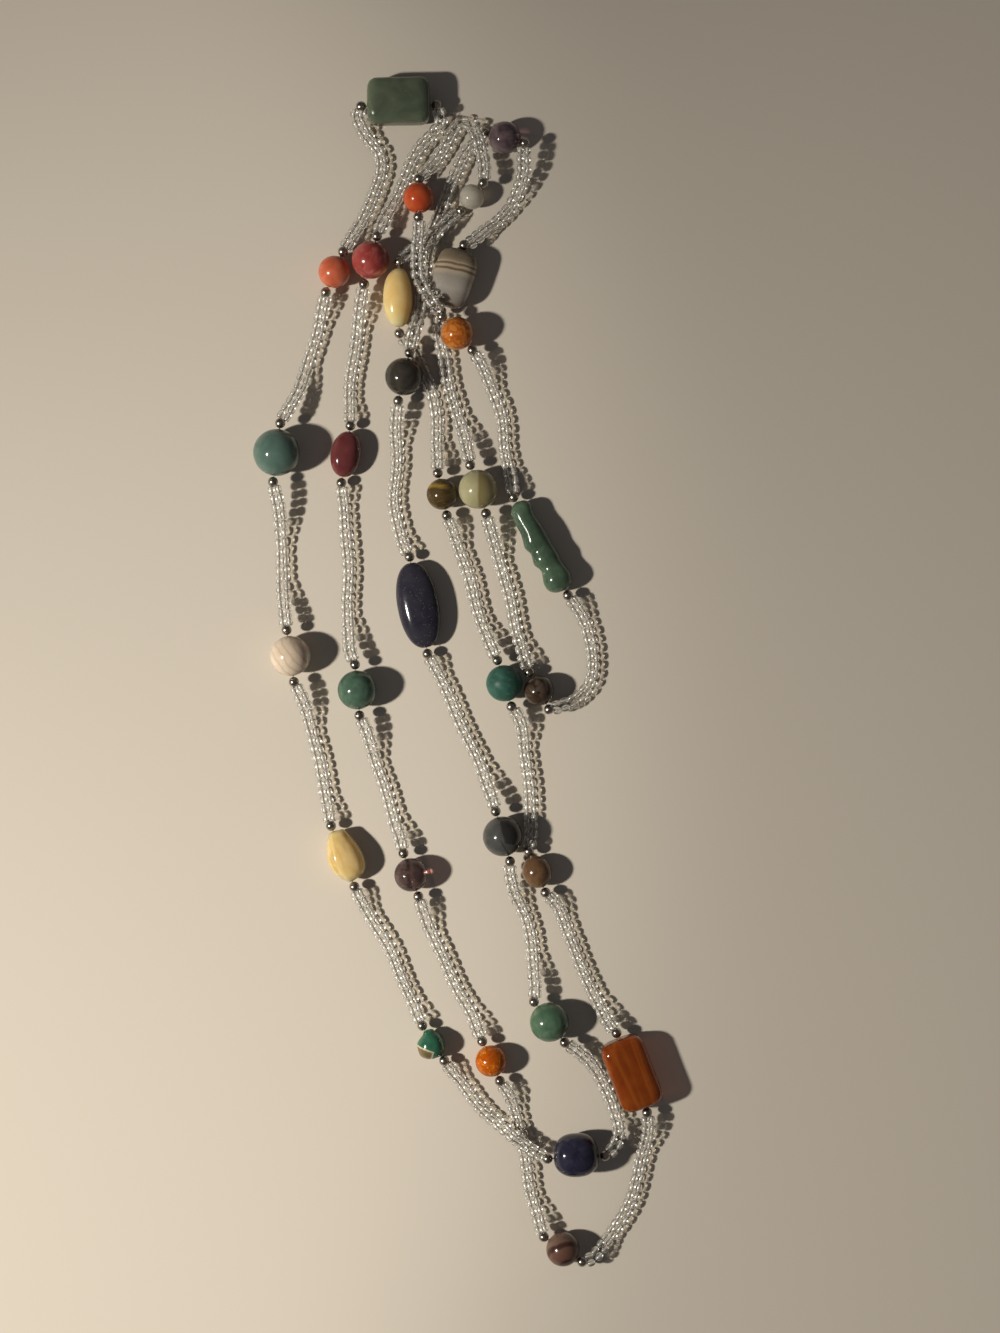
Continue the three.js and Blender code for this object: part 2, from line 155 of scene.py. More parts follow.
# The stretch after each bead: points that its middle line passes, places where it passes over another
# strand (x, y, height of the middle line, reach), and how far it runs to sink where that isn't the usual.
STRETCHES = [
    {"via": [(-36.5, 141.2), (-34.5, 136.7), (-31, 131.5), (-30.5, 126.5), (-32.5, 120.5), (-35.5, 114.5),
             (-38.5, 109)]},
    {"via": [(-45.5, 91.5), (-48, 82), (-51, 72), (-54, 66)]},
    {"via": [(-57, 42.5), (-56, 35), (-56, 23.5), (-55, 14.5)]},
    {"via": [(-51, -7.5), (-48.5, -15), (-46.5, -24), (-44.5, -33.5)]},
    {"via": [(-35.5, -60), (-31.5, -67), (-27.5, -74.5), (-23.5, -84)]},
    {"via": [(-11, -105.5), (-5.5, -112.5), (1, -118.5), (7, -123)], "over": [(4, -120.5, 3.7, 9)]},
    {"via": [(29, -123), (30.5, -118.5), (28.8, -112), (25.8, -106), (22.8, -101), (19.5, -98)]},
    {"via": [(9, -81.5), (8.5, -74), (6.5, -64), (3.5, -57), (2.5, -52.5)]},
    {"via": [(-2.5, -32), (-6, -23.5), (-11, -12.5), (-15.5, -2.5)]},
    {"via": [(-25, 31.5), (-27, 41), (-26.5, 52.5), (-26.5, 63)]},
    {"via": [(-22.8, 83), (-21.8, 86.5), (-20.5, 91), (-20, 96.5), (-19.5, 102), (-18.5, 107),
             (-16.5, 110.5), (-13, 114.5)],
     "over": [(-22.4, 85.5, 5.2, 9), (-18.2, 107.5, 3.2, 9), (-15.5, 112, 3.4, 12)]},
    {"via": [(-4, 126.5), (-4.3, 131), (-5.8, 135.5), (-8, 139), (-10, 139.5), (-12.2, 137),
             (-14.6, 132.8), (-17.3, 128.7)], "over": [(-5, 134.5, 4.8, 9)]},
    {"via": [(-20.6, 112), (-20.8, 108), (-21, 103.5), (-21, 99.5), (-19.5, 96), (-17.5, 93)],
     "over": [(-20.7, 109, 5.6, 16), (-19.5, 96, 7.9, 9), (-17.2, 92.6, 9.4, 9)]},
    {"via": [(-5, 78), (-2, 71.5), (0.5, 63.5), (1.5, 55.5), (3, 47.5)]},
    {"via": [(19.5, 15.5), (22.5, 9.5), (24, 3), (23, -4.5), (19.5, -8.5), (16, -10)]},
    {"via": [(6, 3), (3.5, 13), (1, 23.5), (-2, 33.5)]},
    {"via": [(-8.5, 56), (-11, 65.5), (-13.5, 73), (-14.5, 80.5), (-15.5, 86)], "fall_out": 5},
    {"via": [(-7.5, 108.5), (-4, 111.5), (0.5, 115.5), (4, 120), (6, 125.5), (6, 130)]},
    {"via": [(-6, 134.5), (-8, 132.5), (-10.5, 128.5), (-13, 123), (-14.5, 118), (-16.5, 113.5),
             (-19, 110), (-22.5, 107)]},
    {"via": [(-23.7, 82.8), (-21.2, 78.8), (-18.5, 73.5), (-16.5, 65.5), (-16, 55.5)], "fall_in": 3.4},
    {"via": [(-12, 34.5), (-9, 26.5), (-6, 15.5), (-2.5, 5.5)]},
    {"via": [(5, -13.5), (6.5, -21.5), (7.5, -31.5), (8, -42)]},
    {"via": [(15, -61.5), (18, -70), (22.5, -80.5), (27, -90)]},
    {"via": [(38, -117.5), (37, -124), (35, -133), (31, -142.5), (26.5, -148.5), (23.5, -151.5)]},
    {"via": [(10, -142), (8, -135), (6.5, -126.5), (5, -118.5), (2.5, -110)]},
    {"via": [(-7, -90), (-11, -82.5), (-15.5, -73), (-19.5, -63)]},
    {"via": [(-25.5, -44), (-28, -36.5), (-31, -27), (-34, -17)]},
    {"via": [(-38.5, 4.5), (-39, 14.5), (-39, 27), (-40, 40.5)]},
    {"via": [(-38.5, 66), (-38, 76), (-36.5, 85.5), (-35.5, 93.5)]},
    {"via": [(-30.5, 112.5), (-27, 119.5), (-24, 126), (-20.6, 133), (-15.2, 139.6)]},
]

# Where the layout's origin is in the frame: a round bead's box gives it.
known = BEADS[7]
low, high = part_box(known["name"])
SHIFT = Vector(((low.x + high.x) / 2 / MM - known["x"], (low.y + high.y) / 2 / MM - known["y"], 0))

# ---------------------------------------------------------------------------------------------
# Materials.

LAMP_WAY = (-0.712, -0.138, 0.688)  # from the necklace to the lamp
FAR_WAY = (0.675, 0.13, 0.726)  # square to it, up and away from the lamp
SENT_BACK = (0.6, 0.58, 0.54, 1)  # the share of a dull surface's light that goes straight through glass


def linear(red, green, blue):
    """A colour on the screen's scale of 0 to 255 as Blender's linear colour."""
    shares = [((c / 255 + 0.055) / 1.055) ** 2.4 if c > 10 else c / 3295 for c in (red, green, blue)]
    return (*shares, 1)


class Finish:
    """A material under construction: one Principled shader and the textures that feed it."""

    def __init__(self, name, **surface):
        self.material = bpy.data.materials.new(name)
        self.material.use_nodes = True
        self.tree = self.material.node_tree
        self.shader = self.tree.nodes["Principled BSDF"]
        self.place = self.add("TexCoord").outputs["Object"]
        self.set(**surface)

    def set(self, **surface):
        """Sets the shader's sockets, named with _ for a space."""
        for name, value in surface.items():
            self.feed(self.shader.inputs[name.replace("_", " ")], value)

    def feed(self, socket, value):
        if isinstance(value, bpy.types.NodeSocket):
            self.tree.links.new(value, socket)
        else:
            socket.default_value = value

    def add(self, kind, inputs=None, **settings):
        node = self.tree.nodes.new("ShaderNode" + kind)
        for name, value in settings.items():
            setattr(node, name, value)
        for name, value in (inputs or {}).items():
            self.feed(node.inputs[name], value)
        return node

    def moved(self, turn=(0, 0, 0), stretch=(1, 1, 1)):
        """The bead's own axes, turned by degrees and stretched."""
        inputs = {
            "Vector": self.place,
            "Rotation": tuple(math.radians(angle) for angle in turn),
            "Scale": stretch,
        }
        return self.add("Mapping", inputs).outputs["Vector"]

    def grain(self, size, detail=3, warp=0.0, at=None):
        """Noise with spots of about size millimetres, 0 to 1."""
        inputs = {"Vector": at or self.place, "Scale": 1 / (size * MM), "Detail": detail, "Distortion": warp}
        return self.add("TexNoise", inputs).outputs["Fac"]

    def cells(self, size):
        """Distance from the nearest of many spots about size millimetres apart, as a share of that."""
        inputs = {"Vector": self.place, "Scale": 1 / (size * MM)}
        return self.add("TexVoronoi", inputs).outputs["Distance"]

    def along(self, way, at=None, start=0.0):
        """Distance from start along a direction of the bead's own axes, or of those in at, in millimetres."""
        dot = self.add("VectorMath", {0: at or self.place, 1: way}, operation="DOT_PRODUCT")
        return self.maths("SUBTRACT", self.maths("MULTIPLY", dot.outputs["Value"], 1 / MM), start)

    def reach(self, spot, at=None):
        """Distance from a spot given in millimetres, in millimetres."""
        inputs = {0: at or self.place, 1: tuple(step * MM for step in spot)}
        gap = self.add("VectorMath", inputs, operation="DISTANCE")
        return self.maths("MULTIPLY", gap.outputs["Value"], 1 / MM)

    def wobble(self, value, size, amount):
        """A value made uneven by clouds of about size millimetres."""
        return self.maths("ADD", value, self.maths("MULTIPLY", self.grain(size), amount))

    def veins(self, size, width, warp=1.0, at=None):
        """1 on thin winding lines, falling to 0 beside them."""
        clouds = self.grain(size, detail=3, warp=warp, at=at)
        return self.spread(self.maths("ABSOLUTE", self.maths("SUBTRACT", clouds, 0.5)), width, 0.0)

    def maths(self, operation, a, b=0.0):
        """The result of a Math node."""
        node = self.add("Math", operation=operation)
        self.feed(node.inputs[0], a)
        self.feed(node.inputs[1], b)
        return node.outputs[0]

    def spread(self, value, low, high, start=0.0, end=1.0):
        """A value mapped from low..high to start..end, and held there outside."""
        inputs = {"Value": value, "From Min": low, "From Max": high, "To Min": start, "To Max": end}
        return self.add("MapRange", inputs).outputs["Result"]

    def ramp(self, value, *stops):
        """Colours by value: each stop is (value, (red, green, blue))."""
        node = self.add("ValToRGB", {"Fac": value})
        marks = node.color_ramp.elements
        while len(marks) < len(stops):
            marks.new(0.5)
        for mark, (where, colour) in zip(marks, stops):
            mark.position = where
            mark.color = linear(*colour)
        return node.outputs["Color"]

    def blend(self, share, first, second):
        """The first colour where share is 0 and the second where it's 1."""
        node = self.add("Mix", data_type="RGBA", clamp_result=False)
        for socket, value in ((node.inputs[0], share), (node.inputs[6], first), (node.inputs[7], second)):
            self.feed(socket, linear(*value) if isinstance(value, tuple) and len(value) == 3 else value)
        return node.outputs[2]

    def relief(self, height, depth):
        """Bump of that depth in millimetres from a height of 0 to 1."""
        inputs = {"Height": height, "Distance": depth * MM, "Strength": 1.0}
        self.set(Normal=self.add("Bump", inputs).outputs["Normal"])

    def clear_to_lamps(self, middle, rim, rim_share):
        """Lets the lamps' light through, gathered in the middle and dimmed where rim_share is 1."""
        self.open_to_lamps(self.blend(rim_share, (*middle, 1), (*rim, 1)))

    def open_to_lamps(self, tint):
        """Lets the lamps' light straight through times tint, and so too what dull surfaces send back."""
        ray = self.add("LightPath").outputs
        seen = self.shader.outputs[0]
        for kind, colour in (("Is Diffuse Ray", SENT_BACK), ("Is Shadow Ray", tint)):
            mix = self.add("MixShader", {"Fac": ray[kind]})
            open_way = self.add("BsdfTransparent", {"Color": colour})
            self.tree.links.new(seen, mix.inputs[1])
            self.tree.links.new(open_way.outputs[0], mix.inputs[2])
            seen = mix.outputs[0]
        self.tree.links.new(seen, self.tree.nodes["Material Output"].inputs["Surface"])

    def facing(self, low, high):
        """0 where the surface faces the ray and 1 where it's turned away, between the two limits."""
        return self.spread(self.add("LayerWeight", {"Blend": 0.5}).outputs["Facing"], low, high)


PORE_DEPTH = 0.012


def polished(name, tones, size=3.0, warp=0.5, gloss=0.1, **surface):
    """A polished stone: two or three tones in soft clouds of that size, with fine pores."""
    settings = {"IOR": 1.5, "Specular_IOR_Level": 0.4, **surface}
    finish = Finish(name, **settings)
    clouds = finish.grain(size, detail=4, warp=warp)
    steps = [0.3 + 0.4 * i / (len(tones) - 1) for i in range(len(tones))]
    finish.colour = finish.ramp(clouds, *zip(steps, tones))
    finish.set(Base_Color=finish.colour)
    pores = finish.grain(0.5, detail=5)
    finish.set(Roughness=finish.spread(pores, 0.3, 0.7, gloss, gloss + 0.1))
    finish.relief(pores, PORE_DEPTH)
    return finish


def glow(radius, weight=1.0):
    """Settings for a stone that lets some light through, with how far red, green and blue go in, mm."""
    return {
        "Subsurface_Weight": weight,
        "Subsurface_Radius": tuple(step * MM for step in radius),
        "Subsurface_Scale": 1.0,
    }


def moss_agate(name):
    finish = polished(name, [(80, 90, 74), (98, 108, 88), (112, 120, 98)], size=7, warp=0.6, gloss=0.16,
                      **glow((3, 3.4, 3)))
    specks = finish.spread(finish.cells(1.3), 0.16, 0.08)
    finish.set(Base_Color=finish.blend(specks, finish.colour, (124, 128, 108)))
    return finish


def coral(name):
    return polished(name, [(192, 96, 66), (208, 112, 79), (220, 134, 99)], size=4, gloss=0.14,
                    **glow((1.4, 0.6, 0.4)))


def teal(name):
    return polished(name, [(82, 106, 96), (94, 118, 108), (104, 128, 116)], size=6, gloss=0.08,
                    **glow((2.6, 3.2, 2.8)))


def cream_agate(name):
    """Creamy pink with faint tan lines that slant across it."""
    finish = polished(name, [(214, 198, 176), (226, 212, 192)], size=4, gloss=0.12, **glow((2.2, 1.8, 1.4)))
    level = finish.moved(turn=(0, 0, -82))
    step = finish.wobble(finish.along((0.78, 0.6, 0.2), at=level), 4, 2.0)
    lines = finish.spread(finish.maths("SINE", finish.maths("MULTIPLY", step, 3.4)), 0.2, 1.0, 0.0, 0.55)
    finish.set(Base_Color=finish.blend(lines, finish.colour, (198, 168, 140)))
    return finish


def yellow_pear(name):
    finish = polished(name, [(214, 184, 126), (222, 194, 142), (230, 208, 162)], size=5, gloss=0.12,
                      Subsurface_Anisotropy=0.6, **glow((7, 7, 5)))
    streaks = finish.grain(1.6, detail=2, at=finish.moved(stretch=(0.16, 1, 1)))
    finish.set(Base_Color=finish.blend(finish.spread(streaks, 0.5, 0.75), finish.colour, (196, 168, 108)))
    return finish


def green_nugget(name):
    """Green, with a tan wedge at one corner inside a cream line."""
    finish = polished(name, [(48, 100, 76), (64, 120, 94)], size=2.5, gloss=0.1, **glow((1.2, 2.0, 1.6)))
    level = finish.moved(turn=(0, 0, -58))
    under = finish.wobble(finish.along((-0.367, -1, 0), at=level, start=2.2), 1.5, 0.5)
    left = finish.wobble(finish.along((-1, 0.35, 0), at=level, start=-0.6), 1.2, 0.5)
    inside = finish.spread(finish.maths("MINIMUM", under, left), -0.3, 0.9)
    wedge = finish.ramp(inside, (0.0, (64, 120, 94)), (0.1, (196, 190, 160)), (0.34, (200, 190, 162)),
                        (0.5, (132, 112, 78)), (1.0, (120, 104, 74)))
    finish.set(Base_Color=finish.blend(finish.spread(inside, 0.0, 0.08), finish.colour, wedge))
    return finish


def navy(name):
    return polished(name, [(31, 29, 43), (41, 41, 58), (54, 54, 71)], size=3, gloss=0.06)


def green_round(name):
    return polished(name, [(74, 102, 80), (89, 117, 93), (105, 131, 108)], size=2.2, gloss=0.1,
                    **glow((2.6, 3.2, 2.6)))


def slate(name):
    """Grey green in angular fields that meet near the middle, one of them nearly black."""
    finish = polished(name, [(86, 86, 82), (76, 76, 73)], size=3, gloss=0.09,
                      **glow((1, 1, 1), 0.6))
    level = finish.moved(turn=(0, 0, 106))
    right = finish.spread(finish.wobble(finish.along((1, 0.25, 0), at=level), 2, 0.8), 0.3, 0.9)
    upper = finish.spread(finish.along((0.2, 1, 0), at=level), -1.6, -1.1)
    dark = finish.maths("MULTIPLY", right, upper)
    colour = finish.blend(dark, finish.colour, (52, 49, 47))
    away = finish.along((0.85, 0.5, 0), at=level, start=-0.9)
    fan = finish.spread(finish.maths("ABSOLUTE", away), 0.3, 0.05)
    low = finish.maths("MULTIPLY", fan, finish.spread(finish.along((0, 1, 0), at=level), -0.4, -1.2))
    finish.set(Base_Color=finish.blend(low, colour, (60, 58, 58)))
    return finish


def blue_goldstone(name):
    finish = polished(name, [(37, 36, 46), (48, 46, 56), (56, 53, 62)], size=4, gloss=0.07)
    sparks = finish.spread(finish.cells(0.7), 0.16, 0.08)
    finish.set(Base_Color=finish.blend(sparks, finish.colour, (128, 118, 112)))
    return finish


def onyx(name):
    return polished(name, [(47, 43, 38), (60, 56, 49), (77, 72, 64)], size=5, gloss=0.07)


def milky(name):
    return polished(name, [(208, 198, 178), (224, 214, 194)], size=3, gloss=0.12, **glow((10, 10, 9)),
                    Transmission_Weight=0.35)


def orange_egg(name):
    return polished(name, [(186, 74, 38), (198, 88, 46), (206, 110, 62)], size=4, gloss=0.1,
                    **glow((1.5, 0.5, 0.3)))


def amber_crackle(name):
    """Marbled orange with lighter patches and soft red-brown veins."""
    finish = polished(name, [(190, 104, 34), (204, 122, 44), (214, 146, 66)], size=2.2, gloss=0.11,
                      **glow((1.4, 0.7, 0.3)))
    pale = finish.spread(finish.grain(1.5, warp=1.5), 0.56, 0.7)
    colour = finish.blend(pale, finish.colour, (224, 170, 98))
    veins = finish.maths("MULTIPLY", finish.veins(2.6, 0.07, warp=0.6), 0.6)
    finish.set(Base_Color=finish.blend(veins, colour, (134, 56, 18)))
    return finish


def orange_crackle(name):
    """Deep orange with small paler flecks and darker cracks."""
    finish = polished(name, [(182, 90, 10), (204, 108, 14)], size=2, gloss=0.1, **glow((2.4, 1.2, 0.3)))
    flecks = finish.spread(finish.grain(0.9, detail=2, warp=1), 0.58, 0.68)
    colour = finish.blend(flecks, finish.colour, (222, 150, 44))
    veins = finish.maths("MULTIPLY", finish.veins(2.1, 0.05, warp=0.6), 0.4)
    finish.set(Base_Color=finish.blend(veins, colour, (146, 48, 12)))
    return finish


def carved_jade(name):
    return polished(name, [(68, 88, 70), (82, 103, 83), (96, 117, 95)], size=4, gloss=0.1,
                    **glow((3.4, 4, 3.4)))


def mottled(name):
    """Nearly black brown, with greyish smoke over one side."""
    finish = polished(name, [(36, 27, 21), (62, 47, 36), (78, 64, 52)], size=2.2, warp=0.8, gloss=0.1)
    level = finish.moved(turn=(0, 0, 118))
    smoke = finish.maths("MULTIPLY", finish.spread(finish.reach((0, 1.6, 3), at=level), 3.2, 1.0),
                         finish.spread(finish.grain(2.0, warp=0.8), 0.4, 0.7))
    finish.set(Base_Color=finish.blend(smoke, finish.colour, (108, 98, 86)))
    return finish


def olive_agate(name):
    """Olive cream, tan to one side of a soft edge, with a paler far rim."""
    finish = polished(name, [(166, 160, 124), (180, 174, 140)], size=4, gloss=0.12, **glow((5, 4.8, 3.6)))
    level = finish.moved(turn=(0, 0, 108))
    side = finish.wobble(finish.along((1, 0, 0), at=level), 3, 0.8)
    share = finish.spread(side, -0.5, 4.2)
    tan = finish.ramp(share, (0.0, (172, 166, 130)), (0.12, (172, 166, 130)), (0.26, (142, 128, 86)),
                      (0.55, (150, 138, 96)), (1.0, (160, 150, 110)))
    finish.set(Base_Color=finish.blend(finish.spread(share, 0.1, 0.2), finish.colour, tan))
    return finish


def banded_agate(name):
    """Milky grey, with two tan lines between paler ones nearer the upper end."""
    finish = polished(name, [(150, 142, 128), (166, 156, 140)], size=5, gloss=0.2, **glow((2.4, 2.3, 2.0)))
    step = finish.wobble(finish.along((1, 0.12, 0)), 6, 1.2)
    share = finish.spread(step, -7.0, 8.0)
    milk, pale, tan, dusk = (162, 154, 142), (182, 170, 150), (128, 106, 80), (130, 116, 96)
    stripes = finish.ramp(share, (0.0, (132, 124, 112)), (0.14, milk), (0.3, (182, 174, 164)), (0.5, milk),
                          (0.575, pale), (0.6, pale), (0.615, tan), (0.645, tan), (0.66, pale), (0.69, pale),
                          (0.705, tan), (0.73, tan), (0.75, pale), (0.775, (150, 134, 110)),
                          (0.83, dusk), (1.0, (122, 110, 94)))
    finish.set(Base_Color=stripes)
    return finish


def amethyst(name):
    finish = polished(name, [(100, 82, 90), (126, 108, 110), (146, 130, 128)], size=3, gloss=0.05,
                      **glow((2.4, 2.0, 2.2)), Transmission_Weight=0.3)
    finish.clear_to_lamps((0.6, 0.42, 0.45), (0.14, 0.1, 0.11), finish.facing(0.0, 0.1))
    return finish


def honey(name):
    return polished(name, [(234, 193, 134), (240, 203, 146), (246, 213, 160)], size=5, gloss=0.12,
                    Subsurface_Anisotropy=0.75, **glow((8, 8, 6)))


def tiger_eye(name):
    """Olive brown with a gold band across its upper part: the stone's gold fibres, with their silky sheen
    painted on.
    """
    finish = polished(name, [(68, 54, 30), (94, 76, 44)], size=2, gloss=0.08, **glow((1.4, 1.2, 0.8), 0.8))
    level = finish.moved(turn=(0, 0, -78))
    fibres = finish.grain(0.6, detail=4, at=finish.moved(turn=(0, 0, -70), stretch=(1.8, 0.3, 0.3)))
    off_band = finish.maths("ABSOLUTE", finish.wobble(finish.along((0.1, 1, 0), at=level, start=2.3), 3, 1.0))
    share = finish.maths("MULTIPLY", finish.spread(off_band, 0.9, 0.1),
                         finish.spread(finish.along((1, 0, 0), at=level), 2.4, 0.2))
    # painted sheen: this gold band stands for the stone's shimmer under the lamp as well as its own gold
    # fibres
    gold_fibres_and_sheen = finish.ramp(fibres, (0.35, (136, 108, 42)), (0.65, (186, 154, 76)))
    silk = finish.blend(finish.spread(fibres, 0.5, 0.75), finish.colour, (110, 90, 52))
    finish.set(Base_Color=finish.blend(share, silk, gold_fibres_and_sheen))
    return finish


def turquoise(name):
    """Matt teal with small paler mottles."""
    finish = polished(name, [(46, 84, 74), (58, 98, 86), (68, 108, 94)], size=3.0, gloss=0.36,
                      Specular_IOR_Level=0.2, **glow((1.2, 2, 1.8)))
    mottles = finish.spread(finish.grain(1.3, detail=3, warp=0.5), 0.5, 0.8, 0.0, 0.6)
    finish.set(Base_Color=finish.blend(mottles, finish.colour, (92, 134, 118)))
    return finish


def tan_stone(name):
    return polished(name, [(100, 72, 48), (116, 88, 62), (130, 102, 74)], size=3, warp=1, gloss=0.12,
                    **glow((1.0, 0.7, 0.5), 0.7))


def carnelian(name):
    """Clear orange brown, with a few faint bright streaks along the slab."""
    finish = polished(name, [(132, 60, 14), (148, 72, 18), (160, 84, 24)], size=7, gloss=0.07,
                      **glow((4.0, 1.6, 0.5)), Transmission_Weight=0.2)
    streaks = finish.veins(7.0, 0.05, warp=0.1, at=finish.moved(stretch=(0.07, 1, 0.4)))
    streaks = finish.maths("MULTIPLY", streaks, 0.35)
    finish.set(Base_Color=finish.blend(streaks, finish.colour, (206, 122, 46)))
    finish.clear_to_lamps((0.3, 0.16, 0.08), (0.16, 0.1, 0.06), finish.facing(0.1, 0.7))
    return finish


def brown_agate(name):
    """Brown, with a dark arc near its upper edge and a dark patch at the bottom."""
    finish = polished(name, [(96, 66, 54), (112, 80, 66)], size=3, gloss=0.12, **glow((0.8, 0.5, 0.4), 0.6))
    level = finish.moved(turn=(0, 0, 147))
    ring = finish.wobble(finish.reach((1.2, -3.6, 2.5), at=level), 3, 1.0)
    arcs = finish.ramp(finish.spread(ring, 1.0, 9.0), (0.0, (62, 38, 32)), (0.16, (64, 40, 33)),
                       (0.24, (104, 74, 62)), (0.56, (112, 82, 68)), (0.62, (70, 44, 36)),
                       (0.7, (76, 50, 41)), (0.76, (122, 98, 84)), (1.0, (116, 90, 76)))
    finish.set(Base_Color=arcs)
    return finish


def smoky(name):
    """Nearly clear dark quartz with a flaw along the middle."""
    finish = polished(name, [(114, 94, 90), (146, 124, 116)], size=3, gloss=0.03, **glow((3, 2.6, 2.6)),
                      Transmission_Weight=0.6)
    level = finish.moved(turn=(0, 0, 109))
    flaw = finish.spread(finish.maths("ABSOLUTE", finish.wobble(finish.along((1, 0.1, 0), at=level), 2, 0.8)),
                         0.9, 0.2, 0.0, 0.7)
    finish.set(Base_Color=finish.blend(flaw, finish.colour, (84, 60, 60)))
    finish.clear_to_lamps((1.7, 1.25, 1.2), (0.2, 0.13, 0.13), finish.facing(0.003, 0.022))
    return finish


def aventurine(name):
    return polished(name, [(68, 94, 76), (82, 108, 91), (97, 121, 104)], size=2, gloss=0.1,
                    **glow((2.6, 3.4, 2.8)))


def red_stone(name):
    return polished(name, [(98, 47, 47), (110, 56, 56), (122, 67, 65)], size=5, gloss=0.08,
                    **glow((4, 2.4, 2.4)))


def cherry(name):
    finish = polished(name, [(150, 60, 56), (164, 74, 68), (176, 92, 84)], size=3, warp=0.6, gloss=0.13,
                      **glow((3.6, 2, 2)))
    streaks = finish.grain(1.6, warp=0.5, at=finish.moved(turn=(0, 0, 35), stretch=(0.45, 1, 1)))
    finish.set(Base_Color=finish.blend(finish.spread(streaks, 0.5, 0.8), finish.colour, (198, 132, 120)))
    return finish


def seed_glass(name):
    """Clear glass. Lying low it gathers light into a small spot beside its shadow; held high, it shades."""
    finish = Finish(name, Base_Color=linear(252, 250, 246), IOR=1.5, Transmission_Weight=0.97,
                    Coat_Weight=1.0, Coat_IOR=1.8, Coat_Roughness=0.22)
    ripple = finish.grain(0.9, detail=2)
    finish.set(Roughness=finish.spread(ripple, 0.3, 0.7, 0.0, 0.06))
    finish.relief(ripple, 0.12)
    clear, shaded, gathered = (0.9, 0.87, 0.82, 1), (0.07, 0.06, 0.045, 1), (2.2, 2.15, 2.0, 1)
    normal = finish.add("TexCoord").outputs["Normal"]
    far_side = finish.maths("MULTIPLY", finish.along(FAR_WAY, at=normal), MM)
    halves = finish.blend(finish.spread(far_side, -0.1, 0.12), clear, shaded)
    low_tint = finish.blend(finish.facing(0.012, 0.03), gathered, halves)
    raised = finish.spread(finish.along((0, 0, 1)), 2.5, 3.2)
    tint = finish.blend(raised, low_tint, shaded)
    inside = finish.add("NewGeometry").outputs["Backfacing"]
    finish.open_to_lamps(finish.blend(inside, tint, (1, 1, 1, 1)))
    return finish


def seed_hole(name):
    """The rough drawn wall of a seed bead's hole, which scatters light."""
    finish = Finish(name, IOR=1.5, Transmission_Weight=0.62)
    specks = finish.grain(0.3, detail=3)
    finish.set(Base_Color=finish.ramp(specks, (0.3, (226, 222, 208)), (0.7, (255, 253, 246))))
    finish.set(Roughness=finish.spread(specks, 0.3, 0.7, 0.2, 0.45))
    finish.clear_to_lamps((1.0, 1.0, 1.0), (0.95, 0.95, 0.95), finish.facing(0.2, 0.8))
    return finish


def steel(name):
    finish = Finish(name, Metallic=1.0)
    smears = finish.grain(0.8, detail=4)
    finish.set(Base_Color=finish.ramp(smears, (0.3, (150, 143, 132)), (0.7, (190, 182, 168))))
    finish.set(Roughness=finish.spread(smears, 0.3, 0.7, 0.2, 0.34))
    finish.relief(smears, 0.01)
    return finish


def fibre(name):
    finish = Finish(name, Sheen_Weight=0.3)
    twist = finish.grain(0.25, detail=2)
    finish.set(Base_Color=finish.ramp(twist, (0.3, (156, 148, 130)), (0.7, (190, 182, 164))))
    finish.set(Roughness=finish.spread(twist, 0.3, 0.7, 0.6, 0.85))
    finish.relief(twist, 0.05)
    finish.clear_to_lamps((0.75, 0.74, 0.7), (0.6, 0.58, 0.55), finish.facing(0.1, 0.9))
    return finish


def pale_floor(name):
    finish = Finish(name)
    fine = finish.grain(900, detail=2)
    finish.set(Base_Color=finish.ramp(fine, (0.3, (214, 204, 188)), (0.7, (220, 210, 194))))
    finish.set(Roughness=finish.spread(fine, 0.3, 0.7, 0.7, 0.8))
    return finish


# Each bead's finish, and the name given to its material.
LOOKS = [
    (moss_agate, "moss_agate"), (coral, "coral_stone"), (teal, "teal_stone"), (cream_agate, "cream_agate"),
    (yellow_pear, "yellow_stone"), (green_nugget, "green_nugget"), (navy, "navy_stone"),
    (green_round, "green_aventurine"), (slate, "slate_stone"), (blue_goldstone, "blue_goldstone"),
    (onyx, "black_onyx"), (milky, "milky_quartz"), (orange_egg, "orange_stone"),
    (amber_crackle, "amber_crackle"), (carved_jade, "carved_jade"), (mottled, "mottled_stone"),
    (olive_agate, "olive_agate"), (banded_agate, "banded_agate"), (amethyst, "amethyst"),
    (honey, "honey_stone"), (tiger_eye, "tiger_eye"), (turquoise, "turquoise"), (tan_stone, "tan_stone"),
    (carnelian, "carnelian"), (brown_agate, "brown_agate"), (orange_crackle, "orange_crackle"),
    (smoky, "smoky_quartz"), (aventurine, "dark_aventurine"), (red_stone, "red_stone"),
    (cherry, "cherry_quartz"),
]

# ---------------------------------------------------------------------------------------------
# Meshes.


def new_object(name, points, faces, materials, second=(), place=Matrix.Identity(4)):
    """An object from points in millimetres. Faces whose numbers are in second have material 1."""
    mesh = bpy.data.meshes.new(name)
    mesh.from_pydata((np.asarray(points) * MM).tolist(), [], faces)
    mesh.polygons.foreach_set("use_smooth", [True] * len(faces))
    for material in materials:
        mesh.materials.append(material)
    for number in second:
        mesh.polygons[number].material_index = 1
    mesh.update()
    piece = bpy.data.objects.new(name, mesh)
    bpy.context.scene.collection.objects.link(piece)
    piece.matrix_world = place
    return piece


def ring_faces(rings, around, start=0):
    """Faces between rings of around points each, and from the last ring back to the first."""
    faces = []
    for i in range(rings):
        a, b = start + i * around, start + (i + 1) % rings * around
        for j in range(around):
            k = (j + 1) % around
            faces.append((a + j, a + k, b + k, b + j))
    return faces


def bulge(value, exponent):
    """A sine or cosine swelled from round (exponent 2) towards square."""
    return np.sign(value) * np.abs(value) ** (2 / exponent)


